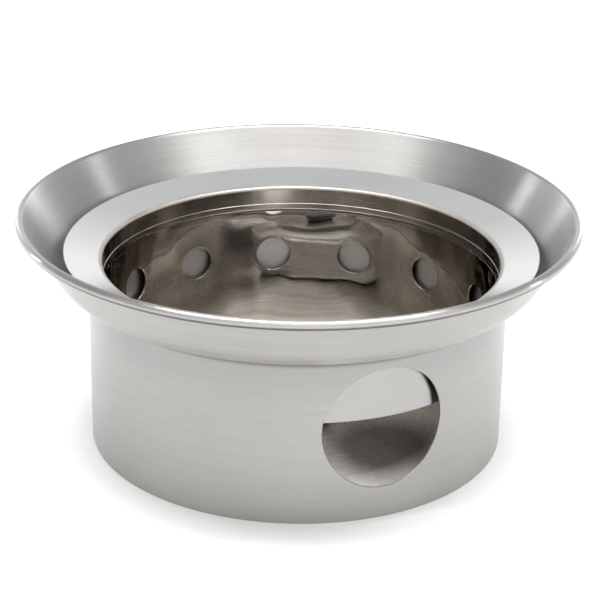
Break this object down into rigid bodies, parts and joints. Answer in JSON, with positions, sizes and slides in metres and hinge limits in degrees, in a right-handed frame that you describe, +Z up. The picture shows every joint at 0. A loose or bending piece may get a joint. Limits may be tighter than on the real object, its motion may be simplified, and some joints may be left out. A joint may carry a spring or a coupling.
{
  "type": "alcohol spirit stove",
  "caption": "Table-top spirit stove: flared steel windshield, loose pot ring, turning vented liner that gates the air window, and a lift-out burner with a swinging lid.",
  "frame": {"origin": "centre of the shell's bottom edge, on the surface that the stove stands on", "axes": "+Z up along the shell's axis, -Y towards the front, +X to the right; the air window faces 23.65 degrees from -Y towards +X"},
  "size_m": [0.2, 0.2, 0.0847],
  "materials": {
    "brushed_shell": "fine circumferential brushing",
    "brushed_collar": "circumferential brushing, stronger inside",
    "turned_floor": "concentric turning marks",
    "polished_ring": "smooth bright polish",
    "mirror_liner": "wavy mirror polish",
    "satin_steel": "satin",
    "burner_steel": "satin drawn steel",
    "gauze": "woven wire",
    "wool": "loose mineral fibre",
    "knob_black": "moulded phenolic"
  },
  "bodies": {
    "body": {"outer_shell": "brushed_shell", "base_pan": "turned_floor", "bottom_plate": "satin_steel", "plate_spacers": "satin_steel", "liner_track": "satin_steel", "flared_collar": "brushed_collar", "rim_wire": "satin_steel"},
    "pot_ring": {"support_ring": "polished_ring", "ring_carrier": "satin_steel"},
    "air_liner": {"vented_liner": "mirror_liner", "liner_guides": "satin_steel"},
    "burner": {"fuel_cup": "burner_steel", "fuel_wool": "wool", "gauze_ring": "satin_steel", "flame_gauze": "gauze", "cup_cover": "burner_steel", "lid_pivot": "satin_steel", "lid_bush": "satin_steel"},
    "lid": {"snuffer_lid": "burner_steel", "lid_knob": "knob_black", "knob_rivet": "satin_steel"}
  },
  "joints": [
    {"name": "ring_lift", "type": "slide", "parent": "body", "child": "pot_ring", "axis": [0, 0, 1], "range_m": [0, 0.05]},
    {"name": "liner_turn", "type": "hinge", "parent": "body", "child": "air_liner", "pos_m": [0, 0, 0.03], "axis": [0, 0, 1], "continuous": true},
    {"name": "burner_lift", "type": "slide", "parent": "body", "child": "burner", "axis": [0, 0, 1], "range_m": [0, 0.095]},
    {"name": "lid_swing", "type": "hinge", "parent": "burner", "child": "lid", "pos_m": [-0.02354, -0.00602, 0.027], "axis": [0, 0, 1], "range_deg": [0, 120]}
  ]
}
